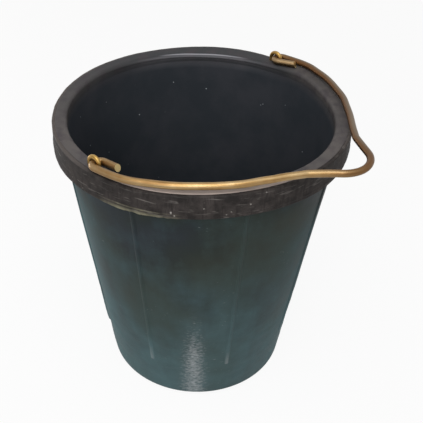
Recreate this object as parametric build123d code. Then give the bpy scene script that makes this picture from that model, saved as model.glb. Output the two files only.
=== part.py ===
from build123d import *
from math import atan2, cos, degrees, radians, sin, sqrt, tan
import os

# A rubber bucket with a wire bail, in millimetres.
# +Z is up, the origin is the middle of the base underside, and the bail's hinge line runs along X.
# At rest the bail lies over the front of the rim, towards -Y.

# Moulded rubber bucket
HEIGHT = 335.0              # base underside to rim top
RIM_DIAMETER = 316.0        # outer edge of the rim flange, inside the band's lap
BASE_DIAMETER = 210.0       # wall outside, carried down to the base underside
WALL = 8.0                  # measured level, through the wall
FLOOR = 9.0                 # thickness of the base
BASE_ROUND = 9.0            # outer edge of the base
FLOOR_ROUND = 14.0          # inside corner of the floor

# Rim flange, with the pale top face
RIM_THICKNESS = 8.0
RIM_WIDTH = 12.0            # outer edge to the mouth
RIM_OVERHANG = 8.0          # outer edge to the neck, the straight wall behind the band
RIM_OUTER_ROUND = 1.0
MOUTH_ROUND = 4.0           # rolled edge of the mouth
LEDGE_DEPTH = 7.0           # rim top to the start of the sloped ledge inside the mouth
LEDGE_HEIGHT = 5.0

# Rubber band round the neck, lapped up over the flange's edge
BAND_HEIGHT = 20.0          # foot of the band to the flange's underside
BAND_LAP = 7.0              # flange's underside to the top of the lap
BAND_PROUD = 4.0            # how far the band stands out past the flange
BAND_TOP_ROUND = 3.0
BAND_FOOT_ROUND = 3.0

# Upright ribs on the wall
RIB_COUNT = 8
RIB_WIDTH = 5.0
RIB_PROUD = 1.5
RIB_ROOT = 3.0              # depth of the rib's root inside the wall
RIB_ROUND = 1.2
RIB_FOOT = 57.0             # base underside to the rib's rounded lower end
RIB_PHASE = 12.0            # degrees from +X to the first rib

# Wire hoop moulded into the flange, and the two wire eyes welded on it
HOOP_WIRE = 4.5
HOOP_INSET = 6.7            # mouth to the middle of the hoop's wire
HOOP_DEPTH = 4.0            # rim top to the middle of the hoop's wire
EYE_WIRE = 3.5
HINGE_SETBACK = 9.7         # bucket's axis back to the hinge line through the eyes

# Bail rod
ROD = 7.5
ROD_LIFT = 0.45             # rim top to the rod's underside, in the eyes
HOOK_CLEARANCE = 1.5        # rod to eye wire, all round the link
HOOK_CLOSE = 10.0           # degrees that a hook is bent past a half turn
HOOK_LEG = 15.0             # straight length of the cropped end
CROP_ANGLE = 35.0           # degrees that the cut face is turned up
HUMP_OVERHANG = 44.8        # flange's outer edge to the middle of the rod at the hump's crest
HUMP_RADIUS = 31.1
HUMP_LEG = 29.7             # straight side of the hump
HUMP_LEG_ANGLE = 36.5       # degrees from square to the hinge line
FOOT_RADIUS = 17.0          # bend between the hump and an arm
ARM_SLOPE = 49.9            # degrees of the arm's straight end, from square to the hinge line
BAIL_REST = 2.8             # degrees the lying bail is tipped up

# Levels and radii that the pieces share
base_r = BASE_DIAMETER / 2
rim_r = RIM_DIAMETER / 2
neck_r = rim_r - RIM_OVERHANG
mouth_r = rim_r - RIM_WIDTH
band_r = rim_r + BAND_PROUD
flange_z = HEIGHT - RIM_THICKNESS
band_z = flange_z - BAND_HEIGHT
taper = (neck_r - base_r) / band_z
hoop_r = mouth_r + HOOP_INSET
hoop_z = HEIGHT - HOOP_DEPTH
eye_x = sqrt(hoop_r**2 - HINGE_SETBACK**2)
hinge_z = HEIGHT + ROD_LIFT + ROD / 2
link_r = ROD / 2 + HOOK_CLEARANCE + EYE_WIRE / 2


def wall_outside(z):
    """Radius of the wall's outside at a height."""
    return base_r + taper * z


def rounded_section(corners):
    """Face in the XZ plane from (radius, height, rounding) corners."""
    face = make_face(Polyline(*[(x, 0, z) for x, z, _ in corners], close=True))
    for x, z, rounding in corners:
        if rounding:
            face = fillet(face.vertices().sort_by_distance((x, 0, z))[0], rounding)
    return face


def wire_along(path, diameter):
    """Round wire swept along a path of straight runs and arcs."""
    section = Plane(origin=path @ 0, z_dir=path % 0) * Circle(diameter / 2)
    return sweep(section, path=path)


def make_hoop():
    """Steel hoop in the middle of the flange."""
    return Pos(0, 0, hoop_z) * Rot(Z=90) * Torus(hoop_r, HOOP_WIRE / 2)


def make_eye(x, hoop):
    """Upright wire eye, its two legs saddled on the hoop."""
    front_y = HINGE_SETBACK - link_r
    back_y = HINGE_SETBACK + link_r
    front_foot = Line((x, front_y, hoop_z), (x, front_y, hinge_z))
    arch = ThreePointArc(front_foot @ 1, (x, HINGE_SETBACK, hinge_z + link_r), (x, back_y, hinge_z))
    back_foot = Line(arch @ 1, (x, back_y, hoop_z))
    return wire_along(Wire([front_foot, arch, back_foot]), EYE_WIRE) - hoop


def make_rib():
    """One upright rib on the +X side, cut off level at the band's underside."""
    lean = degrees(atan2(neck_r - base_r, band_z))
    face_up = Plane(origin=(wall_outside(RIB_FOOT), 0, RIB_FOOT), x_dir=(0, 1, 0),
                    z_dir=(cos(radians(lean)), 0, -sin(radians(lean))))
    run = (band_z - RIB_FOOT) / cos(radians(lean)) + RIB_WIDTH
    strip = Pos(0, run / 2) * Rectangle(RIB_WIDTH, run)
    end = Pos(0, RIB_WIDTH / 2) * Circle(RIB_WIDTH / 2)
    corner_trim = Pos(0, RIB_WIDTH / 4) * Rectangle(RIB_WIDTH, RIB_WIDTH / 2)
    outline = face_up * (strip - corner_trim + end)
    rib = extrude(outline, RIB_PROUD) + extrude(outline, -RIB_ROOT)
    crest = rib.faces().sort_by(Axis(face_up.origin, face_up.z_dir))[-1]
    rib = fillet(crest.edges(), RIB_ROUND)
    return split(rib, Plane.XY.offset(band_z), keep=Keep.BOTTOM)


def make_bucket(hoop, eyes):
    """Tapered wall, floor, ribs and rim flange, moulded round the hoop and the eyes' legs."""
    ledge_z = HEIGHT - LEDGE_DEPTH - LEDGE_HEIGHT
    section = rounded_section([
        (0, 0, 0),
        (base_r, 0, BASE_ROUND),
        (neck_r, band_z, 0),
        (neck_r, flange_z, 0),
        (rim_r, flange_z, 0),
        (rim_r, HEIGHT, RIM_OUTER_ROUND),
        (mouth_r, HEIGHT, MOUTH_ROUND),
        (mouth_r, HEIGHT - LEDGE_DEPTH, 0),
        (wall_outside(ledge_z) - WALL, ledge_z, 0),
        (wall_outside(FLOOR) - WALL, FLOOR, FLOOR_ROUND),
        (0, FLOOR, 0),
    ])
    bucket = revolve(section, Axis.Z)
    rib = make_rib()
    for i in range(RIB_COUNT):
        bucket += Rot(Z=RIB_PHASE + i * 360 / RIB_COUNT) * rib
    for insert in (hoop, *eyes):
        bucket -= insert
    return bucket


def make_band():
    """Rubber band round the neck, lapped up over the flange's edge."""
    lap_z = flange_z + BAND_LAP
    section = rounded_section([
        (neck_r, band_z, 0),
        (band_r, band_z, BAND_FOOT_ROUND),
        (band_r, lap_z, BAND_TOP_ROUND),
        (rim_r, lap_z, 0),
        (rim_r, flange_z, 0),
        (neck_r, flange_z, 0),
    ])
    return revolve(section, Axis.Z)


def bail_half():
    """Edges of the bail's middle line from the hump's crest to one cropped end, in the bail's plane.

    X runs along the hinge line, Y runs from it to the hump, and Z points down through the rim.
    """
    slope = radians(ARM_SLOPE)
    crest = JernArc((0, HINGE_SETBACK + rim_r + HUMP_OVERHANG), (1, 0), HUMP_RADIUS, HUMP_LEG_ANGLE - 90)
    leg = Line(crest @ 1, crest @ 1 + (crest % 1) * HUMP_LEG)
    foot = JernArc(leg @ 1, leg % 1, FOOT_RADIUS, ARM_SLOPE - HUMP_LEG_ANGLE)
    # The arm's straight run and its long bend are what reach from the foot to the hook.
    reach = Vector(eye_x + link_r, link_r) - foot @ 1
    fold = 1 - cos(slope)
    run = reach.Y + reach.X * sin(slope) / fold
    arm_radius = -(reach.Y * sin(slope) + reach.X * cos(slope)) / fold
    straight = Line(foot @ 1, foot @ 1 + (foot % 1) * run)
    arm = JernArc(straight @ 1, straight % 1, arm_radius, -ARM_SLOPE)
    hook = JernArc(arm @ 1, arm % 1, link_r, -180 - HOOK_CLOSE)
    cropped_end = Line(hook @ 1, hook @ 1 + (hook % 1) * HOOK_LEG)
    return [crest, leg, foot, straight, arm, hook, cropped_end]


def make_crop(cropped_end):
    """Block that cuts the end of the rod off aslant, so that the cut face looks up, and stays clear of the arm."""
    along = cropped_end % 1
    lower_lip = cropped_end @ 1
    cut = Plane(origin=lower_lip - along * (ROD / 2 * tan(radians(CROP_ANGLE))),
                x_dir=(along.Y, -along.X, 0), z_dir=along)
    block = Box(1.05 * ROD, 1.3 * ROD, 0.7 * ROD, align=(Align.CENTER, Align.CENTER, Align.MIN))
    return cut * Rot(X=-CROP_ANGLE) * block


def make_bail():
    """Bent rod, linked through both eyes and lying over the front of the rim."""
    tip = radians(BAIL_REST)
    lying = Plane(origin=(0, HINGE_SETBACK, hinge_z), x_dir=(1, 0, 0), z_dir=(0, -sin(tip), -cos(tip)))
    edges = bail_half()
    half = Curve() + edges
    both = lying * (half + mirror(half, about=Plane.YZ))
    crop = make_crop(edges[-1])
    rod = wire_along(Wire(both.edges()), ROD)
    for end in (crop, mirror(crop, about=Plane.YZ)):
        rod -= lying * end
    return rod


hoop = make_hoop()
eye_left = make_eye(-eye_x, hoop)
eye_right = make_eye(eye_x, hoop)
pieces = {
    "bucket_body": make_bucket(hoop, (eye_left, eye_right)),
    "rim_band": make_band(),
    "rim_hoop": hoop,
    "eye_left": eye_left,
    "eye_right": eye_right,
    "bail_handle": make_bail(),
}

os.makedirs("parts", exist_ok=True)
for node, solid in pieces.items():
    export_step(solid, f"parts/{node}.step")
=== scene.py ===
"""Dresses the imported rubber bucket: moulded wall, band round the rim, wire eyes and bent bail.

Sizes are in millimetres and turn to metres where a mesh or a material is made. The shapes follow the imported
solids.
"""

from __future__ import annotations

import logging
import math
from dataclasses import dataclass, field
from enum import Enum
from typing import Any, ClassVar, Mapping, Sequence

import bpy
from mathutils import Matrix, Vector


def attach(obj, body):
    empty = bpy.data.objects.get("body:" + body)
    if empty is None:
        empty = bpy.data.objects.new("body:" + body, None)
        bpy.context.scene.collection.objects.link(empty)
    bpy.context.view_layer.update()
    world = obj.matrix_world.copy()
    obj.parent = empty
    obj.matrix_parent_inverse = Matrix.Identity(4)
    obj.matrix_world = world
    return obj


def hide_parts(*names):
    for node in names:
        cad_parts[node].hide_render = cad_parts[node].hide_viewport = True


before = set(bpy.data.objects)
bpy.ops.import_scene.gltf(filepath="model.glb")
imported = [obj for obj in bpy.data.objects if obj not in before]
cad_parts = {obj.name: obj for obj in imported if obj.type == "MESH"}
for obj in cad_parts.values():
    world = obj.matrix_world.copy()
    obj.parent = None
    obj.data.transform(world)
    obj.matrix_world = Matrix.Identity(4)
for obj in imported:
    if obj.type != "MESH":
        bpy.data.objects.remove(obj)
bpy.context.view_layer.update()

log = logging.getLogger("rubber_bucket")

Tree = bpy.types.NodeTree
Socket = bpy.types.NodeSocket
Piece = bpy.types.Object
Material = bpy.types.Material
Span = tuple[float, float]
Triple = tuple[float, float, float]
Ramp = tuple[float, float, float, float]

MM = 0.001
WHITE = (1.0, 1.0, 1.0, 1.0)
UP = Vector((0.0, 0.0, 1.0))
SMOOTH = {"interpolation_type": "SMOOTHSTEP"}


class Body(Enum):
    """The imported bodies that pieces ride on."""

    BUCKET = "bucket"
    BAIL = "bail"


class Slot(Enum):
    """The record's material slots, one named for each new piece."""

    WALL = "bucket_rubber"
    BAND = "band_rubber"
    EYE = "eye_wire"
    ROD = "bail_rod"


class Side(Enum):
    """Which end of the hinge line an eye stands on, as the sign of X."""

    LEFT = -1.0
    RIGHT = 1.0


def linear(hex_code: str) -> tuple[float, float, float, float]:
    """Turns an sRGB hex colour to linear light.

    Args:
        hex_code: A colour such as "#20272A".

    Returns:
        Red, green, blue and an alpha of 1.
    """
    channels = [int(hex_code[i : i + 2], 16) / 255 for i in (1, 3, 5)]
    return (*[c / 12.92 if c <= 0.04045 else ((c + 0.055) / 1.055) ** 2.4 for c in channels], 1.0)


def metres(*sizes: float) -> list[float]:
    """Turns millimetres to metres."""
    return [size * MM for size in sizes]


def sized(ramp: Ramp) -> list[float]:
    """Turns a ramp's two sizes to metres and leaves its two strengths."""
    return [*metres(*ramp[:2]), *ramp[2:]]


def per(size: float) -> float:
    """Gives a pattern's scale from the size of one of its features, in millimetres."""
    return 1 / (size * MM)


def stretched(across: float, up: float) -> Triple:
    """Gives the scale of a pattern whose features are wider than high or higher than wide, in millimetres."""
    return per(across), per(across), per(up)


def feed(tree: Tree, socket: Socket, value: Any) -> None:
    """Gives an input another node's output or a value.

    Args:
        tree: The tree that the input is in.
        socket: The input.
        value: Another node's output, or a value.
    """
    if isinstance(value, Socket):
        tree.links.new(value, socket)
    else:
        socket.default_value = value


def put(tree: Tree, kind: str, sockets: Any = (), **settings: Any) -> Socket | None:
    """Adds one node with its settings and links.

    Args:
        tree: The tree that gets the node.
        kind: The node's type name.
        sockets: What its inputs get, by name or in order.
        settings: The node's own properties.

    Returns:
        The node's first output in use, or None where it has none.
    """
    node = tree.nodes.new(kind)
    for name, value in settings.items():
        setattr(node, name, value)
    if isinstance(sockets, Mapping):
        pairs = [(node.inputs[name], value) for name, value in sockets.items()]
    else:
        pairs = list(zip([socket for socket in node.inputs if socket.enabled], sockets))
    for socket, value in pairs:
        feed(tree, socket, value)
    return next((socket for socket in node.outputs if socket.enabled), None)


def start_finish(name: str) -> tuple[Material, Tree]:
    """Starts a material.

    Args:
        name: The material's name.

    Returns:
        The material and its tree.
    """
    made = bpy.data.materials.new(name)
    made.use_nodes = True
    return made, made.node_tree


def end_finish(made: Material, sockets: Mapping[str, Any]) -> Material:
    """Sets a material's shader.

    Args:
        made: The material.
        sockets: What the shader's inputs get, by name.

    Returns:
        The same material, finished.
    """
    shader = made.node_tree.nodes["Principled BSDF"]
    for name, value in sockets.items():
        feed(made.node_tree, shader.inputs[name], value)
    return made


def layered(tree: Tree, base: str, *coats: tuple[Socket, str | Socket]) -> Socket:
    """Lays coats of colour over a base.

    Args:
        tree: The material's tree.
        base: The hex colour underneath.
        coats: Each coat's mask, and its hex colour or the output that holds its colour.

    Returns:
        The output that holds the colour on top.
    """
    colour: Any = linear(base)
    for mask, coat in coats:
        over = linear(coat) if isinstance(coat, str) else coat
        colour = put(tree, "ShaderNodeMix", [mask, colour, over], data_type="RGBA")
    return colour


def shape_tree(name: str, inputs: Mapping[str, str]) -> tuple[Tree, Any]:
    """Starts a Geometry Nodes tree.

    Args:
        name: The tree's name.
        inputs: Its named inputs, each with its kind, such as "Float" or "Object".

    Returns:
        The tree and its input sockets, which are looked up by name.
    """
    tree = bpy.data.node_groups.new(name, "GeometryNodeTree")
    for label, kind in inputs.items():
        tree.interface.new_socket(name=label, in_out="INPUT", socket_type=f"NodeSocket{kind}")
    tree.interface.new_socket(name="Mesh", in_out="OUTPUT", socket_type="NodeSocketGeometry")
    return tree, put(tree, "NodeGroupInput").node.outputs


def end_tree(tree: Tree, mesh: Socket, finish: Socket) -> None:
    """Realises a tree's result, gives it its material and sends it out.

    Args:
        tree: The tree.
        mesh: The output that holds the result.
        finish: The input that holds the material.
    """
    mesh = put(tree, "GeometryNodeRealizeInstances", [mesh])
    mesh = put(tree, "GeometryNodeSetMaterial", {"Geometry": mesh, "Material": finish})
    put(tree, "NodeGroupOutput", [mesh])


def grow(name: str, tree: Tree, values: Mapping[str, Any]) -> Piece:
    """Runs a Geometry Nodes tree and keeps its result as a plain mesh.

    Args:
        name: The piece's name.
        tree: The tree to run.
        values: The tree's inputs by name.

    Returns:
        The finished piece, at the origin, with no modifier left on it.
    """
    piece = bpy.data.objects.new(name, bpy.data.meshes.new(name))
    bpy.context.scene.collection.objects.link(piece)
    nodes = piece.modifiers.new("shape", "NODES")
    nodes.node_group = tree
    for item in tree.interface.items_tree:
        if item.item_type == "SOCKET" and item.in_out == "INPUT":
            nodes[item.identifier] = values[item.name]
    graph = bpy.context.evaluated_depsgraph_get()
    grown = piece.evaluated_get(graph)
    mesh = bpy.data.meshes.new_from_object(grown, preserve_all_data_layers=True, depsgraph=graph)
    piece.modifiers.remove(nodes)
    piece.data = mesh
    mesh.name = name
    return piece


def guide_line(name: str, points: Sequence[Sequence[float]], marks: Mapping[str, Sequence[float]]) -> Piece:
    """Makes a chain of points for a tree to follow.

    Args:
        name: The guide's name.
        points: The points in order, in millimetres.
        marks: Numbers for each point, by attribute name.

    Returns:
        An object that isn't in the scene, to be removed after use.
    """
    mesh = bpy.data.meshes.new(name)
    edges = [(i, i + 1) for i in range(len(points) - 1)]
    mesh.from_pydata([Vector(point) * MM for point in points], edges, [])
    for label, numbers in marks.items():
        mesh.attributes.new(label, "FLOAT", "POINT").data.foreach_set("value", list(numbers))
    return bpy.data.objects.new(name, mesh)


def settle(piece: Piece, body: Body, slot: Slot, *nodes: str) -> None:
    """Puts a piece on its body, in the place of CAD nodes, and reports it.

    Args:
        piece: The finished piece.
        body: The body it rides on.
        slot: The record's slot that its finish comes from; it is not used.
        nodes: The CAD nodes it stands for.
    """
    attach(piece, body.value)
    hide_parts(*nodes)
    piece.data.calc_loop_triangles()
    log.info("%s: %d triangles on %s", piece.name, len(piece.data.loop_triangles), body.value)


@dataclass(frozen=True)
class MouldedRubber:
    """Carbon-black rubber pressed in a mould.

    It is satin and nearly black. A blue-green film has bloomed on the wall and dulls it in soft patches and
    runs, and that colour is also painted on as light: a painted reflection of the floor that grows towards
    the base, painted light on one flank, and painted shade that keeps the wall dark high up under the band.
    Olive patches where hands and feed have stained it lie on the side that is handled, and on that side near
    the base a painted highlight lies on the crests of small level scales. The rim's top has been rubbed pale,
    with a painted highlight along its outer edge under the bail and another on the far side's inner bend, and
    the inside stays blue-black with a few specks of feed on it.

    A ramp is where a change starts and ends, and how strong it is there. The first ramps, down to
    far_lip_ramp, go by a height or by a distance from the axis towards a side, in millimetres. The others go
    by the value of a pattern, a mark or the tilt.
    """

    carbon: str = "#242B2C"
    # This blue-green colour stands for the bloomed film and also for painted light and shade on the wall.
    bloom_and_sheen: str = "#526B6F"
    stain: str = "#363B32"
    clean: str = "#31363F"
    # The scuff colour is laid on the real nicks and on the painted highlight low on the handled side.
    scuff: str = "#ADB0B2"
    rub: str = "#5D5856"
    rub_shade: str = "#3E3E40"
    rub_mottle: str = "#474144"
    # Painted highlights on the rim: along the outer edge under the bail, and on the far inner bend and the
    # lip below it.
    edge_highlight: str = "#C2B3AB"
    bend_highlight: str = "#A3A2A8"
    inside: str = "#2E3237"
    inside_haze: str = "#36383D"
    speck: str = "#A9ADB2"
    ior: float = 1.5
    specular: float = 0.09
    patch: float = 55.0
    stain_size: float = 120.0
    run_mark: float = 14.0
    run_squeeze: float = 0.08
    mottle: float = 13.0
    scale_width: float = 4.4
    scale_height: float = 1.9
    scale_relief: float = 0.8
    nick_length: float = 6.0
    nick_height: float = 1.3
    speck_gap: float = 14.0
    grain: float = 1.6
    grain_relief: float = 0.3
    worn_side: Triple = (-0.79, -0.62, 0.0)
    lit_flank_side: Triple = (-0.63, 0.777, 0.0)
    arm_side: Triple = (0.85, -0.53, 0.0)
    sheen_rise_ramp: Ramp = (292.0, 20.0, 0.03, 0.85)
    band_shade_ramp: Ramp = (220.0, 290.0, 1.0, 0.0)
    rib_bloom_ramp: Ramp = (110.0, 60.0, 0.08, 0.7)
    rib_white_ramp: Ramp = (84.0, 62.0, 0.0, 0.26)
    high_ramp: Ramp = (180.0, 290.0, 0.0, 1.0)
    relief_ramp: Ramp = (160.0, 50.0, 0.15, 1.0)
    lit_flank_ramp: Ramp = (100.0, 136.0, 0.0, 0.5)
    handled_ramp: Ramp = (50.0, 115.0, 0.15, 1.0)
    worn_ramp: Ramp = (-130.0, 50.0, 0.0, 1.0)
    arm_ramp: Ramp = (122.0, 145.0, 0.0, 1.1)
    bail_ramp: Ramp = (115.0, 143.0, 0.0, 1.0)
    far_bend_ramp: Ramp = (-131.0, -140.5, 0.0, 1.0)
    far_lip_ramp: Ramp = (-105.0, -142.0, 0.0, 1.0)
    cloud_ramp: Ramp = (0.44, 0.8, -0.23, 0.26)
    stain_ramp: Ramp = (0.42, 0.6, 0.1, 0.6)
    clean_ramp: Ramp = (0.5, 0.36, 0.0, 0.6)
    nick_ramp: Ramp = (0.98, 1.05, 0.0, 0.36)
    crest_ramp: Ramp = (0.66, 1.05, 0.04, 0.85)
    speck_ramp: Ramp = (0.06, 0.025, 0.0, 1.0)
    haze_ramp: Ramp = (0.4, 0.62, 0.0, 1.0)
    mottle_ramp: Ramp = (0.44, 0.66, 0.0, 0.75)
    edge_ramp: Ramp = (0.05, 0.45, 0.0, 1.0)
    bend_ramp: Ramp = (0.16, 0.06, 0.0, 0.85)
    lip_ramp: Ramp = (0.75, 0.4, 0.0, 0.28)
    dust_ramp: Ramp = (0.35, 0.65, 0.7, 1.0)
    rough_ramp: Ramp = (-0.2, 0.22, 0.52, 0.66)
    run_share: float = 0.25
    nick_share: float = 0.45
    crest_share: float = 0.35
    speck_rarity: float = 0.5
    bend_tilt: float = 0.8
    scale_strength: float = 0.5
    grain_strength: float = 0.25

    def material(self) -> Material:
        """Builds the material on Object coordinates and the wall's own marks.

        Returns:
            The finished material.
        """
        made, tree = start_finish("moulded_carbon_black_rubber")
        place = put(tree, "ShaderNodeTexCoord").node.outputs["Object"]
        height = put(tree, "ShaderNodeSeparateXYZ", [place]).node.outputs["Z"]
        inside, rim, edge, rib, scuff = [
            put(tree, "ShaderNodeAttribute", attribute_name=label).node.outputs["Fac"]
            for label in ("inside", "rim", "edge", "rib", "scuff")
        ]
        facing, lit_flank, by_arm = [
            put(tree, "ShaderNodeVectorMath", [place, side], operation="DOT_PRODUCT").node.outputs["Value"]
            for side in (self.worn_side, self.lit_flank_side, self.arm_side)
        ]
        patch, stain, mottle, fine = [
            put(tree, "ShaderNodeTexNoise",
                {"Vector": place, "Scale": per(size), "Detail": detail, "Roughness": roughness})
            for size, detail, roughness in (
                (self.patch, 6.0, 0.62), (self.stain_size, 3.0, 0.5), (self.mottle, 5.0, 0.5),
                (self.grain, 2.0, 0.5),
            )
        ]

        # Bloom in soft patches and in the marks of water running down. The same colour is laid as painted
        # light: a painted reflection of the floor growing towards the base, painted light on one flank, and
        # painted shade keeping it thin high up under the band.
        sheen_rise = put(tree, "ShaderNodeMapRange", [height, *sized(self.sheen_rise_ramp)])
        upright = (1.0, 1.0, self.run_squeeze)
        drawn = put(tree, "ShaderNodeVectorMath", [place, upright], operation="MULTIPLY")
        runs = put(tree, "ShaderNodeTexNoise", {"Vector": drawn, "Scale": per(self.run_mark), "Detail": 3.0})
        cloud = put(tree, "ShaderNodeMath", [runs, self.run_share, patch], operation="MULTIPLY_ADD")
        cloud = put(tree, "ShaderNodeMapRange", [cloud, *self.cloud_ramp])
        bloom_and_sheen = put(tree, "ShaderNodeMath", [sheen_rise, cloud], operation="ADD")
        lit_flank = put(tree, "ShaderNodeMapRange", [lit_flank, *sized(self.lit_flank_ramp)])
        band_shade_fade = put(tree, "ShaderNodeMapRange", [height, *sized(self.band_shade_ramp)])
        lit_flank = put(tree, "ShaderNodeMath", [lit_flank, band_shade_fade], operation="MULTIPLY")
        bloom_and_sheen = put(tree, "ShaderNodeMath", [bloom_and_sheen, lit_flank], operation="ADD")
        foot = put(tree, "ShaderNodeMapRange", [height, *sized(self.rib_bloom_ramp)])
        bloom_and_sheen = put(tree, "ShaderNodeMath", [rib, foot, bloom_and_sheen], operation="MULTIPLY_ADD", use_clamp=True)

        # Stains: olive on the side that is handled, with clean blue-black left between them high up.
        handled = put(tree, "ShaderNodeMapRange", [facing, *sized(self.handled_ramp)], **SMOOTH)
        stained = put(tree, "ShaderNodeMapRange", [stain, *self.stain_ramp])
        stained = put(tree, "ShaderNodeMath", [stained, handled], operation="MULTIPLY")
        clean = put(tree, "ShaderNodeMapRange", [stain, *self.clean_ramp])
        high = put(tree, "ShaderNodeMapRange", [height, *sized(self.high_ramp)])
        high = put(tree, "ShaderNodeMath", [high, handled], operation="MULTIPLY")
        clean = put(tree, "ShaderNodeMath", [clean, high], operation="MULTIPLY")

        # Nicks: short pale scratches, a few to a hand's breadth.
        level = stretched(self.nick_length, self.nick_height)
        drawn = put(tree, "ShaderNodeVectorMath", [place, level], operation="MULTIPLY")
        nicks = put(tree, "ShaderNodeTexNoise", {"Vector": drawn, "Scale": 1.0, "Detail": 2.0})
        nicks = put(tree, "ShaderNodeMath", [patch, self.nick_share, nicks], operation="MULTIPLY_ADD")
        nicks = put(tree, "ShaderNodeMapRange", [nicks, *self.nick_ramp])

        # Painted highlight: a pale streak on the crests of small level scales where the scuff mark lies, low
        # on the side that is handled, and the ribs' lower ends whitened.
        level = stretched(self.scale_width, self.scale_height)
        drawn = put(tree, "ShaderNodeVectorMath", [place, level], operation="MULTIPLY")
        noise = {"Vector": drawn, "Scale": 1.0, "Detail": 3.0, "Roughness": 0.6}
        scales = put(tree, "ShaderNodeTexNoise", noise)
        crest = put(tree, "ShaderNodeMath", [scuff, self.crest_share, scales], operation="MULTIPLY_ADD")
        crest = put(tree, "ShaderNodeMapRange", [crest, *self.crest_ramp])
        rib_end = put(tree, "ShaderNodeMapRange", [height, *sized(self.rib_white_ramp)])
        rib_end = put(tree, "ShaderNodeMath", [rib_end, rib], operation="MULTIPLY")
        white = put(tree, "ShaderNodeMath", [scuff, crest, rib_end], operation="MULTIPLY_ADD", use_clamp=True)

        # Inside: a faint haze, and a few pale crumbs, one here and there in a wide cell.
        cells = put(tree, "ShaderNodeTexVoronoi", {"Vector": place, "Scale": per(self.speck_gap)})
        cells = cells.node.outputs
        near = put(tree, "ShaderNodeMapRange", [cells["Distance"], *self.speck_ramp])
        pick = put(tree, "ShaderNodeSeparateXYZ", [cells["Color"]]).node.outputs["X"]
        rare = put(tree, "ShaderNodeMath", [pick, self.speck_rarity], operation="GREATER_THAN")
        speck = put(tree, "ShaderNodeMath", [near, rare], operation="MULTIPLY")
        haze = put(tree, "ShaderNodeMapRange", [patch, *self.haze_ramp])
        inner = layered(tree, self.inside, (haze, self.inside_haze), (speck, self.speck))

        # Rubbed rim: paler towards the front and along the right arm than at the back, with a painted
        # highlight along the outer edge under the bail, and a painted highlight on the far side's inner bend
        # over a painted sheen on the lip below it.
        worn = put(tree, "ShaderNodeMapRange", [facing, *sized(self.worn_ramp)])
        by_arm = put(tree, "ShaderNodeMapRange", [by_arm, *sized(self.arm_ramp)], **SMOOTH)
        worn = put(tree, "ShaderNodeMath", [worn, by_arm], operation="MAXIMUM")
        mottle = put(tree, "ShaderNodeMapRange", [mottle, *self.mottle_ramp])
        outer = put(tree, "ShaderNodeMapRange", [edge, *self.edge_ramp])
        under_bail = put(tree, "ShaderNodeMapRange", [facing, *sized(self.bail_ramp)], **SMOOTH)
        outer = put(tree, "ShaderNodeMath", [outer, under_bail], operation="MULTIPLY")
        tilt = put(tree, "ShaderNodeNewGeometry").node.outputs["Normal"]
        tilt = put(tree, "ShaderNodeSeparateXYZ", [tilt]).node.outputs["Z"]
        bend = put(tree, "ShaderNodeMath", [tilt, self.bend_tilt], operation="SUBTRACT")
        bend = put(tree, "ShaderNodeMath", [bend], operation="ABSOLUTE")
        bend = put(tree, "ShaderNodeMapRange", [bend, *self.bend_ramp])
        far = put(tree, "ShaderNodeMapRange", [facing, *sized(self.far_bend_ramp)], **SMOOTH)
        bend = put(tree, "ShaderNodeMath", [bend, far], operation="MULTIPLY")
        lip = put(tree, "ShaderNodeMapRange", [tilt, *self.lip_ramp])
        far = put(tree, "ShaderNodeMapRange", [facing, *sized(self.far_lip_ramp)], **SMOOTH)
        bend = put(tree, "ShaderNodeMath", [lip, far, bend], operation="MULTIPLY_ADD", use_clamp=True)
        rubbed = layered(tree, self.rub_shade, (worn, self.rub), (mottle, self.rub_mottle),
                         (outer, self.edge_highlight), (bend, self.bend_highlight))
        dust = put(tree, "ShaderNodeMapRange", [patch, *self.dust_ramp])
        dust = put(tree, "ShaderNodeMath", [dust, rim], operation="MULTIPLY")
        colour = layered(tree, self.carbon, (bloom_and_sheen, self.bloom_and_sheen), (stained, self.stain), (clean, self.clean),
                         (nicks, self.scuff), (white, self.scuff), (inside, inner), (dust, rubbed))

        # Gloss: the bloom is duller than the clean rubber.
        rough = put(tree, "ShaderNodeMapRange", [cloud, *self.rough_ramp])

        # Relief: level scales low on the wall, and the mould's grain, drawn coarser than it is so as to show.
        low = put(tree, "ShaderNodeMapRange", [height, *sized(self.relief_ramp)])
        scales = put(tree, "ShaderNodeMath", [scales, low], operation="MULTIPLY")
        relief = {"Strength": self.scale_strength, "Distance": self.scale_relief * MM, "Height": scales}
        bump = put(tree, "ShaderNodeBump", relief)
        relief = {"Strength": self.grain_strength, "Distance": self.grain_relief * MM, "Height": fine,
                  "Normal": bump}
        bump = put(tree, "ShaderNodeBump", relief)
        return end_finish(made, {"Base Color": colour, "Roughness": rough, "Normal": bump, "IOR": self.ior,
                                 "Specular IOR Level": self.specular})


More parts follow.
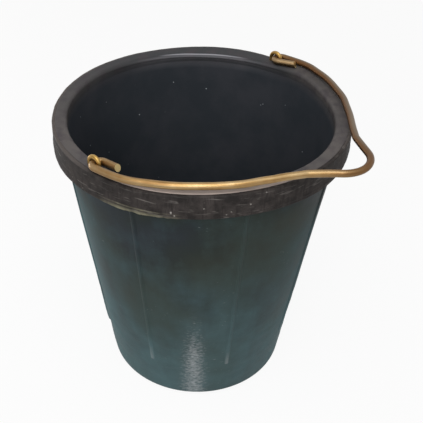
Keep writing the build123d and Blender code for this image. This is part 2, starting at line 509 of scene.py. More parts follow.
@dataclass(frozen=True)
class BandRubber:
    """Reworked rubber, calendered to a strip and bonded on.

    It is coarser and browner than the wall, blotched and scuffed grey, and the thin flash torn along its
    lower edge has gone pale. The first ramp goes by a distance from the axis, in millimetres, and the others
    by a pattern's value.
    """

    base: str = "#292625"
    blotch: str = "#443F3D"
    scuff: str = "#7E7975"
    speck: str = "#B5B1AB"
    flash: str = "#ADA98C"
    rub: str = "#5C5653"
    ior: float = 1.5
    specular: float = 0.08
    blotch_size: float = 16.0
    blotch_relief: float = 1.2
    scuff_length: float = 22.0
    scuff_height: float = 2.6
    crease_width: float = 3.2
    crease_height: float = 24.0
    speck_gap: float = 4.5
    grit: float = 1.4
    grit_relief: float = 0.4
    rubbed_side: Triple = (0.643, 0.766, 0.0)
    rubbed_ramp: Ramp = (-105.0, -75.0, 0.0, 1.0)
    blotch_ramp: Ramp = (0.38, 0.66, 0.0, 1.0)
    crease_ramp: Ramp = (0.48, 0.36, 0.0, 0.6)
    scuff_ramp: Ramp = (0.60, 0.74, 0.0, 0.6)
    speck_ramp: Ramp = (0.26, 0.12, 0.0, 0.8)
    chipped_ramp: Ramp = (0.57, 0.63, 0.0, 1.0)
    rough_ramp: Ramp = (0.3, 0.7, 0.55, 0.8)
    speck_rarity: float = 0.6
    blotch_strength: float = 0.5
    grit_strength: float = 0.35

    def material(self) -> Material:
        """Builds the material on Object coordinates and the band's own marks.

        Returns:
            The finished material.
        """
        made, tree = start_finish("reworked_band_rubber")
        place = put(tree, "ShaderNodeTexCoord").node.outputs["Object"]
        flash, crown = [
            put(tree, "ShaderNodeAttribute", attribute_name=label).node.outputs["Fac"]
            for label in ("flash", "crown")
        ]
        noise = {"Vector": place, "Scale": per(self.blotch_size), "Detail": 6.0, "Roughness": 0.65}
        blotch = put(tree, "ShaderNodeTexNoise", noise)
        blotched = put(tree, "ShaderNodeMapRange", [blotch, *self.blotch_ramp])

        # Creases: upright dark lines, where the strip was pressed round the neck.
        upright = stretched(self.crease_width, self.crease_height)
        drawn = put(tree, "ShaderNodeVectorMath", [place, upright], operation="MULTIPLY")
        creases = put(tree, "ShaderNodeTexNoise", {"Vector": drawn, "Scale": 1.0, "Detail": 3.0})
        creases = put(tree, "ShaderNodeMapRange", [creases, *self.crease_ramp])

        # Scuffs: long level rubs, and small chips in clusters.
        level = stretched(self.scuff_length, self.scuff_height)
        drawn = put(tree, "ShaderNodeVectorMath", [place, level], operation="MULTIPLY")
        noise = {"Vector": drawn, "Scale": 1.0, "Detail": 4.0, "Distortion": 0.8}
        rubs = put(tree, "ShaderNodeTexNoise", noise)
        rubs = put(tree, "ShaderNodeMapRange", [rubs, *self.scuff_ramp])
        cells = put(tree, "ShaderNodeTexVoronoi", {"Vector": place, "Scale": per(self.speck_gap)})
        cells = cells.node.outputs
        near = put(tree, "ShaderNodeMapRange", [cells["Distance"], *self.speck_ramp])
        pick = put(tree, "ShaderNodeSeparateXYZ", [cells["Color"]]).node.outputs["X"]
        rare = put(tree, "ShaderNodeMath", [pick, self.speck_rarity], operation="GREATER_THAN")
        chipped = put(tree, "ShaderNodeMapRange", [blotch, *self.chipped_ramp])
        rare = put(tree, "ShaderNodeMath", [rare, chipped], operation="MULTIPLY")
        speck = put(tree, "ShaderNodeMath", [near, rare], operation="MULTIPLY")

        # Rubbed lap: away from the front its top has worn as pale as the rim that it lies against.
        facing = put(tree, "ShaderNodeVectorMath", [place, self.rubbed_side], operation="DOT_PRODUCT")
        facing = facing.node.outputs["Value"]
        rubbed = put(tree, "ShaderNodeMapRange", [facing, *sized(self.rubbed_ramp)])
        rubbed = put(tree, "ShaderNodeMath", [rubbed, crown], operation="MULTIPLY")
        colour = layered(tree, self.base, (blotched, self.blotch), (creases, self.base), (rubs, self.scuff),
                         (speck, self.speck), (flash, self.flash), (rubbed, self.rub))
        rough = put(tree, "ShaderNodeMapRange", [blotch, *self.rough_ramp])

        # Relief: the blotches stand proud, and the reworked crumb is drawn coarser than it is so as to show.
        grit = put(tree, "ShaderNodeTexNoise", {"Vector": place, "Scale": per(self.grit), "Detail": 3.0})
        relief = {"Strength": self.blotch_strength, "Distance": self.blotch_relief * MM, "Height": blotch}
        bump = put(tree, "ShaderNodeBump", relief)
        relief = {"Strength": self.grit_strength, "Distance": self.grit_relief * MM, "Height": grit,
                  "Normal": bump}
        bump = put(tree, "ShaderNodeBump", relief)
        return end_finish(made, {"Base Color": colour, "Roughness": rough, "Normal": bump, "IOR": self.ior,
                                 "Specular IOR Level": self.specular})


@dataclass(frozen=True)
class BrassedWire:
    """Brassed drawn wire, bent cold.

    Worn stretches shine pale gold, and the rest has tarnished brown in blotches and in draw lines along the
    wire. Away from one stretch the tarnish is laid deeper as painted shade, since the light falls on that
    stretch. The far arm's outer side has a painted grey reflection. The hooked ends are rubbed in the eyes,
    and a cut end is bright new metal. The first ramp goes by how far along the wire, in millimetres, and the
    others by the value of a pattern or of the turn round the wire.
    """

    name: str
    bright: str
    dull: str
    tarnish: str
    wear: float
    outer_reflection: str = "#695B4D"
    cut: str = "#C6B07E"
    shine_middle: float = 0.0
    shine_reach: float = 1000.0
    shine_behind: float = 0.75
    hook: float = 60.0
    outer_turn: float = 0.87
    blotch: float = 11.0
    line_length: float = 70.0
    line_count: float = 9.0
    line_share: float = 0.75
    line_relief: float = 0.2
    line_strength: float = 0.1
    far_ramp: Ramp = (331.0, 360.0, 0.0, 1.0)
    worn_ramp: Ramp = (0.56, 0.78, 0.0, 1.0)
    brown_ramp: Ramp = (0.46, 0.32, 0.0, 0.6)
    reflected_ramp: Ramp = (0.0, 0.75, 0.0, 1.0)
    rough_ramp: Ramp = (0.35, 0.65, 0.45, 0.40)
    wear_gain: float = 0.2
    most_tarnish: float = 0.9
    least_held: float = 0.5

    def material(self) -> Material:
        """Builds the material on the wire's own marks and on Object coordinates.

        Returns:
            The finished material.
        """
        made, tree = start_finish(self.name)
        place = put(tree, "ShaderNodeTexCoord").node.outputs["Object"]
        run, rest, turn, cut = [
            put(tree, "ShaderNodeAttribute", attribute_name=label).node.outputs["Fac"]
            for label in ("run", "rest", "turn", "cut")
        ]

        # Wear: draw lines along the wire, broken by blotches, part the bright metal from the brown.
        along = put(tree, "ShaderNodeMath", [run, per(self.line_length)], operation="MULTIPLY")
        around = put(tree, "ShaderNodeMath", [turn, self.line_count], operation="MULTIPLY")
        drawn = put(tree, "ShaderNodeCombineXYZ", [along, around, 0.0])
        lines = put(tree, "ShaderNodeTexNoise", {"Vector": drawn, "Scale": 1.0, "Detail": 4.0})
        blotch = put(tree, "ShaderNodeTexNoise", {"Vector": place, "Scale": per(self.blotch), "Detail": 5.0})
        mixed = put(tree, "ShaderNodeMix", [self.line_share, blotch, lines], data_type="FLOAT")
        starts = [value - self.wear_gain * self.wear for value in self.worn_ramp[:2]]
        worn = put(tree, "ShaderNodeMapRange", [mixed, *starts, *self.worn_ramp[2:]])
        brown = put(tree, "ShaderNodeMapRange", [mixed, *self.brown_ramp])

        # Tarnish laid deeper away from the bright stretch, more slowly behind it, as painted shade beside the
        # light that falls on that stretch, and rubbed thin at the hooks.
        on = put(tree, "ShaderNodeMath", [run, self.shine_middle * MM], operation="SUBTRACT")
        back = put(tree, "ShaderNodeMath", [on, -self.shine_behind], operation="MULTIPLY")
        away = put(tree, "ShaderNodeMath", [on, back], operation="MAXIMUM")
        fade = (0.3 * self.shine_reach, self.shine_reach, 0.0, self.most_tarnish)
        past = put(tree, "ShaderNodeMapRange", [away, *sized(fade)], **SMOOTH)
        grip = (0.5 * self.hook, self.hook, self.least_held, 1.0)
        held = put(tree, "ShaderNodeMapRange", [rest, *sized(grip)])
        past = put(tree, "ShaderNodeMath", [past, held], operation="MULTIPLY")

        # Painted reflection: grey on the outer side of the far arm, where the white surroundings show in the
        # metal.
        aside = put(tree, "ShaderNodeMath", [turn, self.outer_turn], operation="SUBTRACT")
        aside = put(tree, "ShaderNodeMath", [aside, math.tau], operation="MULTIPLY")
        aside = put(tree, "ShaderNodeMath", [aside], operation="COSINE")
        reflected = put(tree, "ShaderNodeMapRange", [aside, *self.reflected_ramp], **SMOOTH)
        far = put(tree, "ShaderNodeMapRange", [run, *sized(self.far_ramp)])
        reflected = put(tree, "ShaderNodeMath", [reflected, far], operation="MULTIPLY")
        tarnish_and_reflection = layered(tree, self.tarnish, (reflected, self.outer_reflection))
        colour = layered(tree, self.dull, (worn, self.bright), (brown, self.tarnish), (past, tarnish_and_reflection),
                         (cut, self.cut))
        rough = put(tree, "ShaderNodeMapRange", [mixed, *self.rough_ramp])
        relief = {"Strength": self.line_strength, "Distance": self.line_relief * MM, "Height": lines}
        bump = put(tree, "ShaderNodeBump", relief)
        return end_finish(made, {"Base Color": colour, "Metallic": 1.0, "Roughness": rough, "Normal": bump})


@dataclass(frozen=True)
class DrawnSteel:
    """Drawn steel wire, grey and softly bright, with a little brown where damp has reached it."""

    steel: str = "#9A9A98"
    rust: str = "#6E5442"
    blotch: float = 9.0
    damp_ramp: Ramp = (0.52, 0.7, 0.0, 0.8)
    rough_ramp: Ramp = (0.3, 0.7, 0.35, 0.6)

    def material(self) -> Material:
        """Builds the material on Object coordinates.

        Returns:
            The finished material.
        """
        made, tree = start_finish("drawn_steel_wire")
        place = put(tree, "ShaderNodeTexCoord").node.outputs["Object"]
        blotch = put(tree, "ShaderNodeTexNoise", {"Vector": place, "Scale": per(self.blotch), "Detail": 5.0})
        damp = put(tree, "ShaderNodeMapRange", [blotch, *self.damp_ramp])
        colour = layered(tree, self.steel, (damp, self.rust))
        rough = put(tree, "ShaderNodeMapRange", [blotch, *self.rough_ramp])
        return end_finish(made, {"Base Color": colour, "Metallic": 1.0, "Roughness": rough})


@dataclass(frozen=True)
class Corner:
    """One corner of a turned section, the longest step to the next, and the marks that its surface has."""

    radius: float
    height: float
    rounding: float = 0.0
    step: float = 5.0
    marks: Mapping[str, float] = field(default_factory=dict)


@dataclass
class TurnedSection:
    """A section that is turned about the bucket's axis, given by its corners."""

    corners: Sequence[Corner]
    names: Sequence[str]
    arc_step: float = 13.0

    def arc(self, i: int) -> list[Vector]:
        """Gives a corner's points, along its rounding where it has one.

        Args:
            i: The corner's place in the section.

        Returns:
            Points as radius and height.
        """
        corner = self.corners[i]
        here = Vector((corner.radius, corner.height))
        if not corner.rounding:
            return [here]
        back, on = self.corners[i - 1], self.corners[i + 1]
        before = (Vector((back.radius, back.height)) - here).normalized()
        after = (Vector((on.radius, on.height)) - here).normalized()
        half = before.angle(after) / 2
        centre = here + (before + after).normalized() * (corner.rounding / math.sin(half))
        start = here + before * (corner.rounding / math.tan(half)) - centre
        end = here + after * (corner.rounding / math.tan(half)) - centre
        first = math.atan2(start.y, start.x)
        sweep = (math.atan2(end.y, end.x) - first + math.pi) % math.tau - math.pi
        count = max(3, math.ceil(abs(sweep) / math.radians(self.arc_step)))
        angles = [first + sweep * k / count for k in range(count + 1)]
        return [centre + corner.rounding * Vector((math.cos(a), math.sin(a))) for a in angles]

    def guide(self, name: str) -> Piece:
        """Makes the section's chain of points, rounded and stepped.

        Args:
            name: The guide's name.

        Returns:
            The guide, with one attribute for each mark.
        """
        points: list[Vector] = []
        marks: dict[str, list[float]] = {label: [] for label in self.names}
        for i, corner in enumerate(self.corners):
            bend = self.arc(i)
            if points:
                run = bend[0] - points[-1]
                count = max(1, math.ceil(run.length / self.corners[i - 1].step))
                start = points[-1].copy()
                for k in range(1, count):
                    points.append(start + run * (k / count))
                    for label in self.names:
                        was = self.corners[i - 1].marks.get(label, 0.0)
                        marks[label].append(was + (corner.marks.get(label, 0.0) - was) * k / count)
            points.extend(bend)
            for label in self.names:
                marks[label].extend([corner.marks.get(label, 0.0)] * len(bend))
        return guide_line(name, [(p.x, 0.0, p.y) for p in points], marks)


@dataclass
class TurnedGrid:
    """A grid in a tree, whose rows are a section's points and whose columns go once round the axis."""

    tree: Tree
    mesh: Socket
    spin: Socket
    radius: Socket
    level: Socket
    marks: Mapping[str, Socket]

    @classmethod
    def start(cls, tree: Tree, given: Any, names: Sequence[str]) -> TurnedGrid:
        """Lays the grid and reads the section for its rows.

        Args:
            tree: The tree of a turned piece.
            given: Its inputs, with Section, Rows and Around among them.
            names: The marks that the section carries.

        Returns:
            The grid, still flat.
        """
        section = put(tree, "GeometryNodeObjectInfo", {"Object": given["Section"]}).node.outputs["Geometry"]
        here = put(tree, "GeometryNodeInputPosition")
        grid = put(tree, "GeometryNodeMeshGrid", [1.0, 1.0, given["Rows"], given["Around"]])
        square = put(tree, "ShaderNodeSeparateXYZ", [here]).node.outputs
        last = put(tree, "ShaderNodeMath", [given["Rows"], 1.0], operation="SUBTRACT")
        row = put(tree, "ShaderNodeMapRange", [square["X"], -0.5, 0.5, 0.0, last])
        row = put(tree, "ShaderNodeMath", [row], operation="ROUND")
        ring = put(tree, "GeometryNodeSampleIndex", [section, here, row], data_type="FLOAT_VECTOR",
                   domain="POINT")
        ring = put(tree, "ShaderNodeSeparateXYZ", [ring]).node.outputs
        marks = {}
        for label in names:
            mark = put(tree, "GeometryNodeInputNamedAttribute", {"Name": label}, data_type="FLOAT")
            marks[label] = put(tree, "GeometryNodeSampleIndex", [section, mark, row], data_type="FLOAT",
                               domain="POINT")
        spin = put(tree, "ShaderNodeMapRange", [square["Y"], -0.5, 0.5, 0.0, math.tau])
        return cls(tree, grid, spin, ring["X"], ring["Z"], marks)

    def turn(self, angle: Socket) -> tuple[Socket, Socket]:
        """Turns the section about the axis.

        Args:
            angle: A point's angle about the axis.

        Returns:
            The level direction from the axis to the point, and the point's place.
        """
        tree = self.tree
        cosine, sine = [put(tree, "ShaderNodeMath", [angle], operation=kind) for kind in ("COSINE", "SINE")]
        out = put(tree, "ShaderNodeCombineXYZ", [cosine, sine, 0.0])
        lift = put(tree, "ShaderNodeCombineXYZ", [0.0, 0.0, self.level])
        return out, put(tree, "ShaderNodeVectorMath", [out, self.radius, lift], operation="MULTIPLY_ADD")

    def finish(self, place: Socket, kept: Mapping[str, Socket], weld: float, rubber: Socket) -> None:
        """Moves the points to their places, closes the seam and ends the tree.

        Args:
            place: A point's place.
            kept: The marks that the material reads, by attribute name.
            weld: How near points are before they are joined, in millimetres.
            rubber: The input that holds the material.
        """
        mesh = self.mesh
        for label, value in kept.items():
            mesh = put(self.tree, "GeometryNodeStoreNamedAttribute",
                       {"Geometry": mesh, "Name": label, "Value": value}, data_type="FLOAT", domain="POINT")
        mesh = put(self.tree, "GeometryNodeSetPosition", {"Geometry": mesh, "Position": place})
        mesh = put(self.tree, "GeometryNodeMergeByDistance", {"Geometry": mesh, "Distance": weld * MM})
        mesh = put(self.tree, "GeometryNodeSetShadeSmooth", {"Geometry": mesh, "Shade Smooth": True})
        end_tree(self.tree, mesh, rubber)


def apart(tree: Tree, angle: Socket, middle: Socket) -> Socket:
    """Gives how far apart two angles are, whichever way round.

    Args:
        tree: The tree of a turned piece.
        angle: A point's angle about the axis.
        middle: The angle that it is measured from.

    Returns:
        The output that holds the difference, from 0 to half a turn.
    """
    off = put(tree, "ShaderNodeMath", [angle, middle], operation="SUBTRACT")
    off = put(tree, "ShaderNodeMath", [off, math.pi, -math.pi], operation="WRAP")
    return put(tree, "ShaderNodeMath", [off], operation="ABSOLUTE")


def uneven(tree: Tree, noise: Mapping[str, Any], spread: Span, amount: Socket) -> Socket:
    """Gives a soft unevenness that goes as far in as out.

    Args:
        tree: The tree of a turned piece.
        noise: The inputs of its noise.
        spread: The noise's values where it is furthest in and furthest out.
        amount: How far it goes.

    Returns:
        The output that holds how far a point goes out.
    """
    rough = put(tree, "ShaderNodeTexNoise", noise, noise_dimensions="4D")
    low = put(tree, "ShaderNodeMath", [amount, -1.0], operation="MULTIPLY")
    return put(tree, "ShaderNodeMapRange", [rough, *spread, low, amount])


@dataclass(frozen=True)
class Swell:
    """A stretch of the soft mouth that has moved.

    It says where, how far it runs each way, and how far out and up it went. The mouth's inner edge has a move
    of its own, the lip.
    """

    degrees: float
    reach: float
    out: float = 0.0
    up: float = 0.0
    lip: float = 0.0

    def stretch(self) -> Triple:
        """Gives the swell's middle and reach for a tree, in radians."""
        return math.radians(self.degrees), math.radians(self.reach), 0.0

    def move(self) -> Triple:
        """Gives how far out and up the swell goes, and its inner edge out, for a tree, in metres."""
        return self.out * MM, self.up * MM, self.lip * MM


@dataclass(frozen=True)
class Mouth:
    """The shape that the soft mouth has taken, which the moulding and its band share.

    It dies away down the wall.
    """

    swells: Mapping[str, Swell] = field(default_factory=lambda: {
        "Swell Behind": Swell(27.0, 34.0, out=3.4),
        "Swell Before": Swell(-20.0, 26.0, out=4.3, up=0.6),
        "Swell Beside": Swell(-14.0, 20.0, up=1.9),
        "Swell Side": Swell(-58.0, 30.0, out=1.2),
        "Swell Front": Swell(-122.0, 46.0, up=3.2),
        "Dent": Swell(128.0, 34.0, out=-1.2),
        "Lip": Swell(36.0, 62.0, lip=-5.2),
    })
    fade_ramp: Ramp = (220.0, 325.0, 0.0, 1.0)

    def inputs(self) -> dict[str, str]:
        """Gives the tree inputs that the swells need, with their kinds."""
        return {f"{label} {part}": "Vector" for label in self.swells for part in ("Stretch", "Move")}

    def values(self) -> dict[str, Triple]:
        """Gives the tree inputs' values."""
        stretches = {f"{label} Stretch": swell.stretch() for label, swell in self.swells.items()}
        return stretches | {f"{label} Move": swell.move() for label, swell in self.swells.items()}

    def shift(self, grid: TurnedGrid, given: Any, angle: Socket, out: Socket, outer: Socket | float = 1.0,
              inner: Socket | float = 0.0) -> Socket:
        """Adds up how the swells move a point.

        Args:
            grid: The grid of a turned piece.
            given: Its tree's inputs.
            angle: The point's angle about the bucket's axis.
            out: The level direction from the axis to the point.
            outer: How much of the outward move the point takes, as the mouth's inner edge doesn't follow it.
            inner: How much of the inner edge's move the point takes.

        Returns:
            The output that holds the move.
        """
        tree = grid.tree
        total: Any = (0.0, 0.0, 0.0)
        for label in self.swells:
            middle, reach = put(tree, "ShaderNodeSeparateXYZ", [given[f"{label} Stretch"]]).node.outputs[:2]
            move = given[f"{label} Move"]
            off = apart(tree, angle, middle)
            bell = put(tree, "ShaderNodeMapRange", [off, reach, 0.0, 0.0, 1.0], **SMOOTH)
            total = put(tree, "ShaderNodeVectorMath", [move, bell, total], operation="MULTIPLY_ADD")
        fade = put(tree, "ShaderNodeMapRange", [grid.level, *sized(self.fade_ramp)], **SMOOTH)
        total = put(tree, "ShaderNodeVectorMath", [total, fade], operation="MULTIPLY")
        outward, upward, lip = put(tree, "ShaderNodeSeparateXYZ", [total]).node.outputs[:3]
        outward = put(tree, "ShaderNodeMath", [outward, outer], operation="MULTIPLY")
        outward = put(tree, "ShaderNodeMath", [lip, inner, outward], operation="MULTIPLY_ADD")
        raised = put(tree, "ShaderNodeCombineXYZ", [0.0, 0.0, upward])
        return put(tree, "ShaderNodeVectorMath", [out, outward, raised], operation="MULTIPLY_ADD")


@dataclass
class BucketMoulding:
    """The moulded bucket: floor, tapered wall with upright ribs, and the rolled rim."""

    MARKS: ClassVar[Sequence[str]] = ("inside", "outside", "rim", "edge", "wall", "sway")

    mouth: Mouth
    height: float = 335.0
    base_radius: float = 105.0
    base_round: float = 9.0
    neck_radius: float = 150.0
    rim_radius: float = 158.0
    rim_round: float = 1.0
    mouth_radius: float = 144.4
    mouth_round: float = 4.0
    ledge_top: float = 328.0
    ledge_top_round: float = 2.5
    ledge_foot: float = 323.0
    ledge_foot_round: float = 3.0
    wall: float = 8.0
    wall_low: float = 24.0
    wall_high: float = 315.0
    floor: float = 9.0
    floor_round: float = 14.0
    band_foot: float = 307.0
    flange: float = 327.0
    ribs: int = 8
    rib_phase: float = 12.0
    rib_width: float = 5.0
    rib_proud: float = 1.5
    rib_flank: float = 0.4
    rib_round: float = 1.5
    rib_foot: float = 57.0
    crowding: float = 0.75
    around: int = 361
    unevenness: float = 0.55
    lump: float = 85.0
    lump_spread: Span = (0.25, 0.75)
    ripple: float = 0.32
    ripple_spread: Span = (0.3, 0.7)
    ripple_full: float = 0.5
    ripple_top: float = 150.0
    ripple_rise: float = 10.0
    ripple_length: float = 48.0
    rim_sway: float = 0.35
    rim_sway_gain: float = 3.0
    rim_wave: float = 38.0
    highlight_side: float = -142.5
    highlight_reach: float = 32.0
    highlight_top: float = 190.0
    highlight_narrow: float = 0.45
    highlight_full: float = 0.35
    seed: float = 4.0
    weld: float = 0.02

    def wall_outside(self, z: float) -> float:
        """Gives the wall's outside radius at a height."""
        return self.base_radius + (self.neck_radius - self.base_radius) * z / self.band_foot

    def wall_inside(self, z: float) -> float:
        """Gives the wall's inside radius at a height."""
        return self.wall_outside(z) - self.wall

    def section(self) -> TurnedSection:
        """Gives the section from the floor's middle up the inside, over the rim and down the outside.

        Returns:
            The section, with the marks of its surfaces.
        """
        top = self.height - self.rim_sway
        ledge = {"inside": 0.2, "rim": 0.95, "sway": 0.5}
        inner = {"inside": 1.0, "wall": 1.0}
        outer = {"outside": 1.0, "wall": 1.0}
        plain = {"outside": 1.0}
        return TurnedSection(
            [
                Corner(0.0, self.floor, 0.0, 12.0, {"inside": 1.0}),
                Corner(self.wall_inside(self.floor), self.floor, self.floor_round, 6.0, {"inside": 1.0}),
                Corner(self.wall_inside(self.wall_high), self.wall_high, 0.0, 3.0, inner),
                Corner(self.wall_inside(self.ledge_foot), self.ledge_foot, self.ledge_foot_round, 2.0,
                       {"inside": 1.0, "rim": 0.4}),
                Corner(self.mouth_radius, self.ledge_top, self.ledge_top_round, 1.5, ledge),
                Corner(self.mouth_radius, top, self.mouth_round, 1.5, {"rim": 1.0, "sway": 1.0}),
                Corner(self.rim_radius, top, self.rim_round, 2.5, {"rim": 1.0, "edge": 1.0, "sway": 1.0}),
                Corner(self.rim_radius, self.flange, 0.0, 5.0, plain),
                Corner(self.neck_radius, self.flange, 0.0, 5.0, plain),
                Corner(self.neck_radius, self.band_foot, 0.0, 4.5, plain),
                Corner(self.wall_outside(self.ripple_top), self.ripple_top, 0.0, 2.4, outer),
                Corner(self.wall_outside(self.wall_low), self.wall_low, 0.0, 3.0, outer),
                Corner(self.base_radius, 0.0, self.base_round, 12.0, plain),
                Corner(0.0, 0.0, marks=plain),
            ],
            self.MARKS,
        )

    def tree(self) -> Tree:
        """Builds the tree that turns the section and raises the ribs, ripples and unevenness on it.

        Returns:
            A tree with the bucket's sizes as its named inputs.
        """
        tree, given = shape_tree("moulded_wall", {
            "Section": "Object", "Rows": "Int", "Around": "Int", "Ribs": "Float", "Rib Phase": "Float",
            "Rib Edge": "Float", "Rib Crown": "Float", "Rib Proud": "Float", "Rib Foot": "Float",
            "Crowding": "Float", "Lump Size": "Float", "Unevenness": "Float", "Ripple Scale": "Vector",
            "Ripple": "Float", "Ripple Top": "Float", "Rim Wave": "Float", "Rim Sway": "Float",
            "Seed": "Float", "Rubber": "Material", "Scuff Side": "Float", "Scuff Reach": "Float",
            "Scuff Top": "Float", **self.mouth.inputs(),
        })
        grid = TurnedGrid.start(tree, given, self.MARKS)
        marks = grid.marks

        # Angles crowd together at the ribs, where the wall needs more points.
        wave = put(tree, "ShaderNodeMath", [grid.spin, given["Ribs"]], operation="MULTIPLY")
        wave = put(tree, "ShaderNodeMath", [wave], operation="SINE")
        pull = put(tree, "ShaderNodeMath", [given["Crowding"], given["Ribs"]], operation="DIVIDE")
        pull = put(tree, "ShaderNodeMath", [wave, pull], operation="MULTIPLY")
        eased = put(tree, "ShaderNodeMath", [grid.spin, pull], operation="SUBTRACT")
        angle = put(tree, "ShaderNodeMath", [eased, given["Rib Phase"]], operation="ADD")
        out, turned = grid.turn(angle)

        # Each rib is a strip with a round foot: a point's distance from its middle line sets its height.
        half_pitch = put(tree, "ShaderNodeMath", [math.pi, given["Ribs"]], operation="DIVIDE")
        low_pitch = put(tree, "ShaderNodeMath", [half_pitch, -1.0], operation="MULTIPLY")
        off = put(tree, "ShaderNodeMath", [eased, half_pitch, low_pitch], operation="WRAP")
        off = put(tree, "ShaderNodeMath", [off, grid.radius], operation="MULTIPLY")
        below = put(tree, "ShaderNodeMath", [given["Rib Foot"], grid.level], operation="SUBTRACT")
        below = put(tree, "ShaderNodeMath", [below, 0.0], operation="MAXIMUM")
        gap = put(tree, "ShaderNodeCombineXYZ", [off, below, 0.0])
        gap = put(tree, "ShaderNodeVectorMath", [gap], operation="LENGTH")
        flank = [gap, given["Rib Edge"], given["Rib Crown"], 0.0, 1.0]
        rib = put(tree, "ShaderNodeMapRange", flank, **SMOOTH)
        rib = put(tree, "ShaderNodeMath", [rib, marks["outside"]], operation="MULTIPLY")

        # A painted highlight on one side, kept as the scuff mark, in a strip that widens and grows stronger
        # down to the base.
        aside = apart(tree, angle, given["Scuff Side"])
        aside = put(tree, "ShaderNodeMath", [aside, grid.radius], operation="MULTIPLY")
        wide = put(tree, "ShaderNodeMapRange", [grid.level, given["Scuff Top"], 0.0, self.highlight_narrow, 1.0])
        wide = put(tree, "ShaderNodeMath", [wide, given["Scuff Reach"]], operation="MULTIPLY")
        scuff = put(tree, "ShaderNodeMapRange", [aside, wide, 0.0, 0.0, 1.0], **SMOOTH)
        full = put(tree, "ShaderNodeMath", [given["Scuff Top"], self.highlight_full], operation="MULTIPLY")
        fall = put(tree, "ShaderNodeMapRange", [grid.level, given["Scuff Top"], full, 0.0, 1.0], **SMOOTH)
        scuff = put(tree, "ShaderNodeMath", [scuff, fall], operation="MULTIPLY")
        scuff = put(tree, "ShaderNodeMath", [scuff, marks["outside"]], operation="MULTIPLY")

        # The mould and years of use have left the wall a little uneven, and rippled low down.
        noise = {"Vector": turned, "W": given["Seed"], "Scale": given["Lump Size"], "Detail": 2.0}
        lumps = uneven(tree, noise, self.lump_spread, given["Unevenness"])
        drawn = put(tree, "ShaderNodeVectorMath", [turned, given["Ripple Scale"]], operation="MULTIPLY")
        noise = {"Vector": drawn, "W": given["Seed"], "Scale": 1.0, "Detail": 1.5, "Distortion": 0.4}
        ripples = uneven(tree, noise, self.ripple_spread, given["Ripple"])
        fade = put(tree, "ShaderNodeMath", [given["Ripple Top"], self.ripple_full], operation="MULTIPLY")
        fade = put(tree, "ShaderNodeMapRange", [grid.level, given["Ripple Top"], fade, 0.0, 1.0], **SMOOTH)
        ripples = put(tree, "ShaderNodeMath", [ripples, fade], operation="MULTIPLY")
        ripples = put(tree, "ShaderNodeMath", [ripples, marks["outside"]], operation="MULTIPLY")
        relief = put(tree, "ShaderNodeMath", [lumps, ripples], operation="ADD")
        relief = put(tree, "ShaderNodeMath", [relief, marks["wall"]], operation="MULTIPLY")
        relief = put(tree, "ShaderNodeMath", [rib, given["Rib Proud"], relief], operation="MULTIPLY_ADD")
        final = put(tree, "ShaderNodeVectorMath", [out, relief, turned], operation="MULTIPLY_ADD")
        outer = put(tree, "ShaderNodeMath", [marks["edge"], marks["outside"]], operation="MAXIMUM")
        inner = put(tree, "ShaderNodeMath", [marks["sway"], marks["edge"]], operation="SUBTRACT")
        swell = self.mouth.shift(grid, given, angle, out, outer, inner)
        final = put(tree, "ShaderNodeVectorMath", [final, swell], operation="ADD")

        # The soft rim sways a little, up and down and in and out.
        noise = {"Vector": turned, "W": given["Seed"], "Scale": given["Rim Wave"], "Detail": 3.0}
        sway = put(tree, "ShaderNodeTexNoise", noise, noise_dimensions="4D").node.outputs["Color"]
        sway = put(tree, "ShaderNodeVectorMath", [sway, (0.5, 0.5, 0.5)], operation="SUBTRACT")
        reach = put(tree, "ShaderNodeMath", [marks["sway"], given["Rim Sway"]], operation="MULTIPLY")
        final = put(tree, "ShaderNodeVectorMath", [sway, reach, final], operation="MULTIPLY_ADD")

        kept = {label: marks[label] for label in ("inside", "rim", "edge")}
        grid.finish(final, kept | {"rib": rib, "scuff": scuff}, self.weld, given["Rubber"])
        return tree

    def build(self, rubber: Material) -> Piece:
        """Builds and dresses the bucket.

        Args:
            rubber: The material of the moulding.

        Returns:
            The finished piece.
        """
        section = self.section().guide("wall_section")
        piece = grow("bucket_moulding", self.tree(), {
            "Section": section,
            "Rows": len(section.data.vertices),
            "Around": self.around,
            "Ribs": float(self.ribs),
            "Rib Phase": math.radians(self.rib_phase),
            "Rib Edge": (self.rib_width / 2 + self.rib_flank) * MM,
            "Rib Crown": (self.rib_width / 2 - self.rib_round) * MM,
            "Rib Proud": self.rib_proud * MM,
            "Rib Foot": (self.rib_foot + self.rib_width / 2) * MM,
            "Crowding": self.crowding,
            "Lump Size": per(self.lump),
            "Unevenness": self.unevenness * MM,
            "Ripple Scale": stretched(self.ripple_length, self.ripple_rise),
            "Ripple": self.ripple * MM,
            "Ripple Top": self.ripple_top * MM,
            "Rim Wave": per(self.rim_wave),
            "Rim Sway": self.rim_sway_gain * self.rim_sway * MM,
            "Seed": self.seed,
            "Rubber": rubber,
            "Scuff Side": math.radians(self.highlight_side),
            "Scuff Reach": self.highlight_reach * MM,
            "Scuff Top": self.highlight_top * MM,
            **self.mouth.values(),
        })
        bpy.data.objects.remove(section)
        settle(piece, Body.BUCKET, Slot.WALL, "bucket_body")
        return piece


